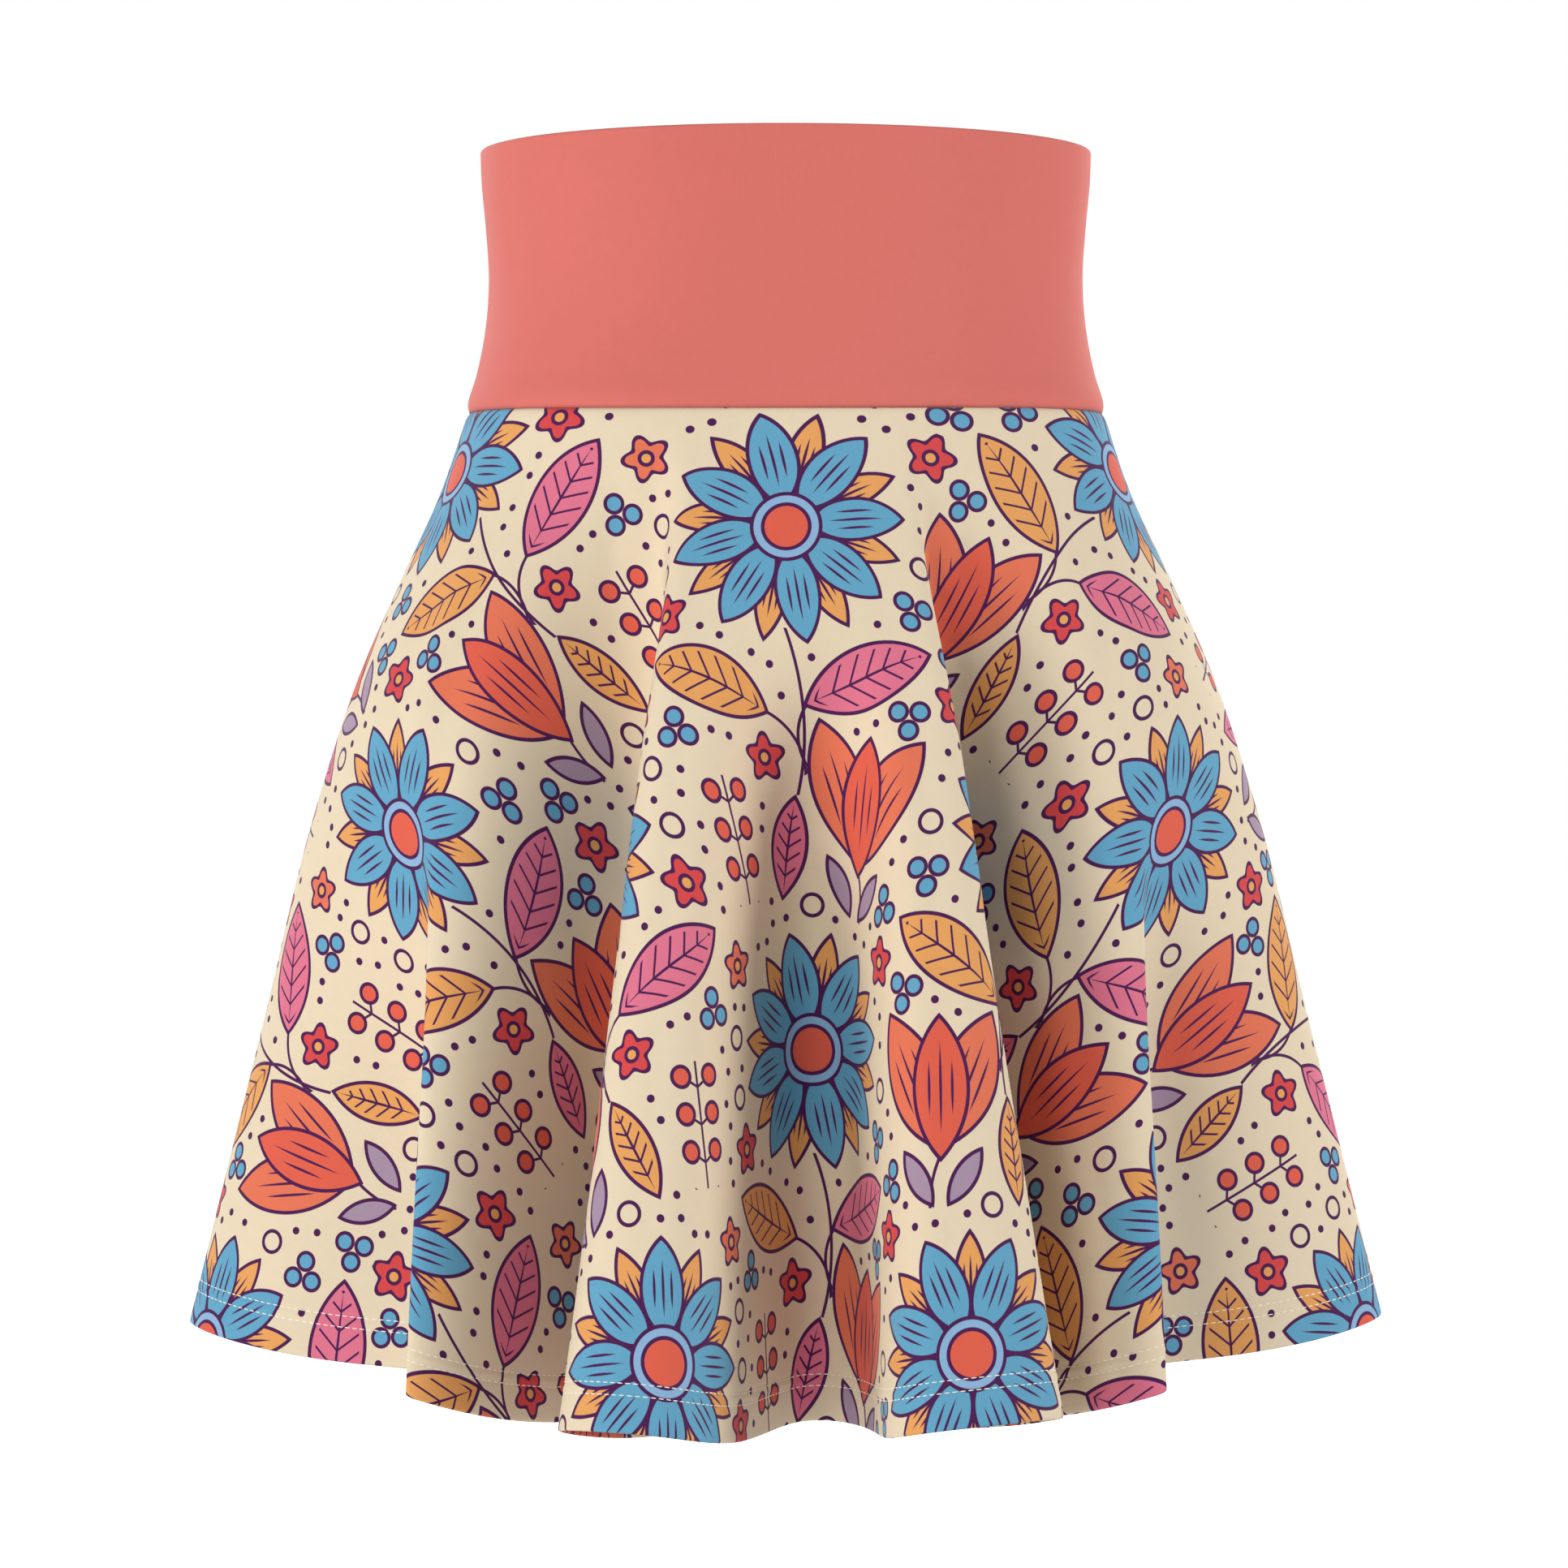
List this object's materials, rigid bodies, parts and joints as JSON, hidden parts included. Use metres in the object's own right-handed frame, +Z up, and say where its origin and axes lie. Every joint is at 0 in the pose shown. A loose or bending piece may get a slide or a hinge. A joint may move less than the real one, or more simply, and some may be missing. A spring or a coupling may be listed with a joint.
{
  "type": "circle skirt",
  "caption": "Pull-on circle skirt with a tall plain waistband and a printed, two-panel skirt in deep hanging folds.",
  "frame": {"origin": "centre of the waistband's narrowest ring, where the wearer's waist holds the skirt", "axes": "+Z up along the wearer's axis, -Y towards the front, +X towards the right of the front view"},
  "size_m": [0.4811, 0.3702, 0.5099],
  "materials": {
    "waistband_knit": "matte fine jersey knit",
    "printed_knit": "matte fine jersey knit with a printed floral"
  },
  "bodies": {
    "root": {"waistband_front": "waistband_knit", "waistband_back": "waistband_knit", "skirt_front": "printed_knit", "skirt_back": "printed_knit"}
  },
  "joints": []
}
